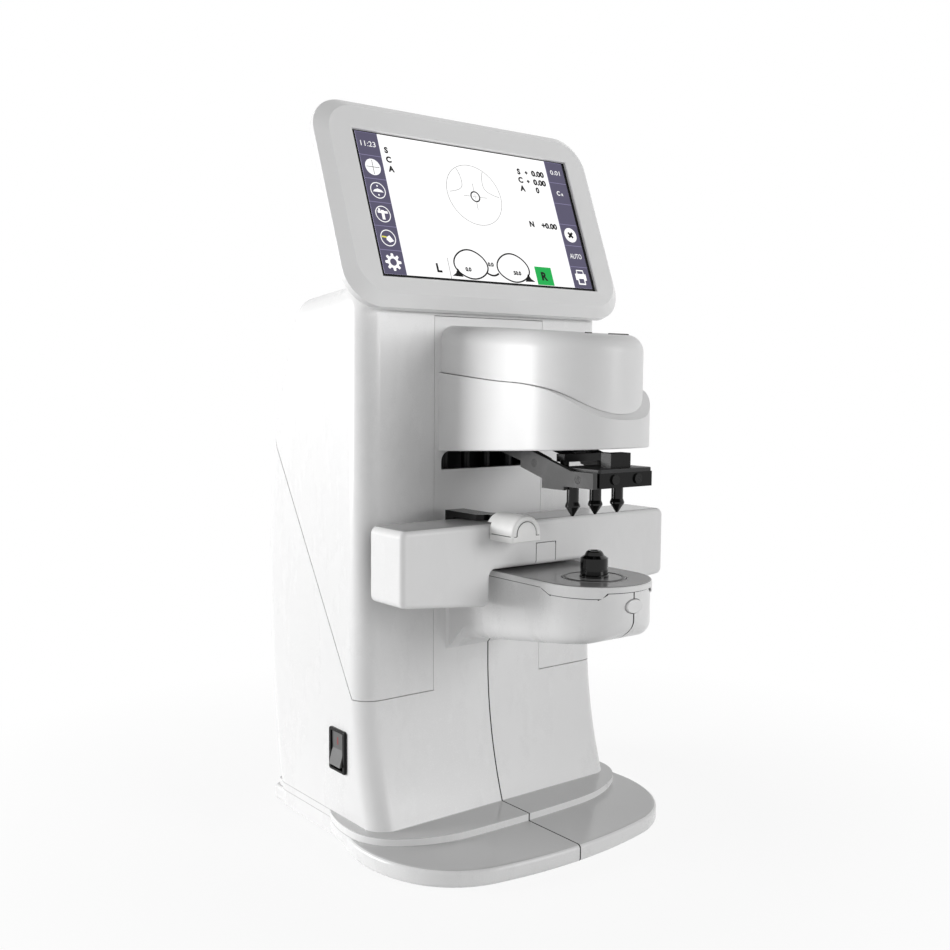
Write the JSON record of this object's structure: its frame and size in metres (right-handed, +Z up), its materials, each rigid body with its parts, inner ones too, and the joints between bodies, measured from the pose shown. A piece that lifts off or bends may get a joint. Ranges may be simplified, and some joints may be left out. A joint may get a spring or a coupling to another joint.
{
  "type": "auto lensmeter",
  "caption": "Bench auto lensmeter: tilting touch display, sliding lens table with nose pad, marking pens and lens presser over a lens rest on a column with a flat base.",
  "frame": {"origin": "on the bench, under the middle of the machine's box", "axes": "+X to the operator's right, -Y towards the operator, +Z up; the optical axis is vertical at X 0, Y -85.2 mm"},
  "size_m": [0.1974, 0.2302, 0.4111],
  "materials": {
    "shell_white": "smooth, softly glossy white moulding",
    "shell_grey": "smooth light grey moulding",
    "bezel_white": "glossy white moulding",
    "black_plastic": "matt black moulding",
    "table_white": "smooth white moulding",
    "soft_white": "soft light silicone",
    "soft_black": "matt black rubber",
    "black_metal": "black coated metal",
    "steel": "brushed",
    "bare_steel": "ground",
    "zinc_steel": "zinc plated sheet",
    "aluminium": "satin",
    "bronze": "sintered",
    "glass": "clear",
    "screen": "lit picture",
    "board_green": "solder resist",
    "pen_black": "gloss black",
    "marker_grey": "dark grey moulding"
  },
  "bodies": {
    "stand": {"base_plate": "zinc_steel", "rubber_feet": "soft_black", "housing_screws": "steel", "lower_housing_left": "shell_white", "lower_housing_right": "shell_white", "upper_cover": "shell_white", "centre_panel": "shell_grey", "head_lower_cover": "shell_white", "head_upper_cover": "shell_grey", "light_shield": "black_plastic", "stage_lid": "shell_white", "rest_plate": "shell_grey", "lens_rest": "pen_black", "receiver_tube": "black_metal", "hartmann_plate": "steel", "sensor_board": "board_green", "lamp_tube": "black_metal", "collimator_lens": "glass", "lamp_board": "board_green", "head_frame": "aluminium", "spine_plate": "zinc_steel", "chin_bracket": "zinc_steel", "rod_bracket": "black_metal", "marking_guide_rods": "bare_steel", "presser_guide_rods": "bare_steel", "table_bushes": "bronze", "display_yoke": "black_metal", "switch_bezel": "black_plastic", "rear_panel": "zinc_steel", "power_inlet": "black_plastic", "serial_port": "steel", "power_supply": "board_green", "main_board": "board_green"},
    "display": {"display_bezel": "bezel_white", "display_rear_cover": "bezel_white", "touch_glass": "glass", "lcd_panel": "screen", "display_board": "board_green", "display_hinge_pins": "bare_steel"},
    "rocker": {"power_rocker": "black_plastic"},
    "button": {"measure_button": "shell_white"},
    "table": {"lens_table": "table_white", "table_back_plate": "black_plastic", "table_slide_rods": "bare_steel", "pd_rail": "bare_steel", "table_insert": "table_white"},
    "pad_slider": {"pd_carriage": "black_plastic", "nose_pad_core": "black_plastic", "nose_pad": "soft_white"},
    "marking_unit": {"marking_plate_left": "black_metal", "marking_plate_right": "black_metal", "marking_carriage": "black_metal", "marker_block": "black_plastic", "marker_cover": "marker_grey", "marking_screws": "steel"},
    "pen_left": {"marker_pen_left": "pen_black"},
    "pen_centre": {"marker_pen_centre": "pen_black"},
    "pen_right": {"marker_pen_right": "pen_black"},
    "presser": {"presser_arm": "black_metal", "presser_tips": "soft_black"}
  },
  "joints": [
    {"name": "display_tilt", "type": "hinge", "parent": "stand", "child": "display", "pos_m": [0, 0.02065, 0.32161], "axis": [-1, 0, 0], "range_deg": [-3, 25]},
    {"name": "power_switch", "type": "hinge", "parent": "stand", "child": "rocker", "pos_m": [-0.082, 0.0266, 0.0524], "axis": [0, -1, 0], "range_deg": [0, 14]},
    {"name": "measure_press", "type": "slide", "parent": "stand", "child": "button", "axis": [0, 1, 0], "range_m": [0, 0.0015], "stiffness_N_per_m": 400, "springref_m": -0.001},
    {"name": "table_slide", "type": "slide", "parent": "stand", "child": "table", "axis": [0, 1, 0], "range_m": [-0.022, 0.008]},
    {"name": "pad_slide", "type": "slide", "parent": "table", "child": "pad_slider", "axis": [1, 0, 0], "range_m": [-0.016, 0.074]},
    {"name": "marking_lower", "type": "slide", "parent": "stand", "child": "marking_unit", "axis": [0, 0, -1], "range_m": [0, 0.0175], "stiffness_N_per_m": 200, "springref_m": -0.012},
    {"name": "pen_left_press", "type": "slide", "parent": "marking_unit", "child": "pen_left", "axis": [0, 0, 1], "range_m": [0, 0.0022], "stiffness_N_per_m": 300, "springref_m": -0.001},
    {"name": "pen_centre_press", "type": "slide", "parent": "marking_unit", "child": "pen_centre", "axis": [0, 0, 1], "range_m": [0, 0.0022], "stiffness_N_per_m": 300, "springref_m": -0.001},
    {"name": "pen_right_press", "type": "slide", "parent": "marking_unit", "child": "pen_right", "axis": [0, 0, 1], "range_m": [0, 0.0022], "stiffness_N_per_m": 300, "springref_m": -0.001},
    {"name": "presser_lower", "type": "slide", "parent": "stand", "child": "presser", "axis": [0, 0, -1], "range_m": [0, 0.026], "stiffness_N_per_m": 150, "springref_m": -0.012}
  ]
}
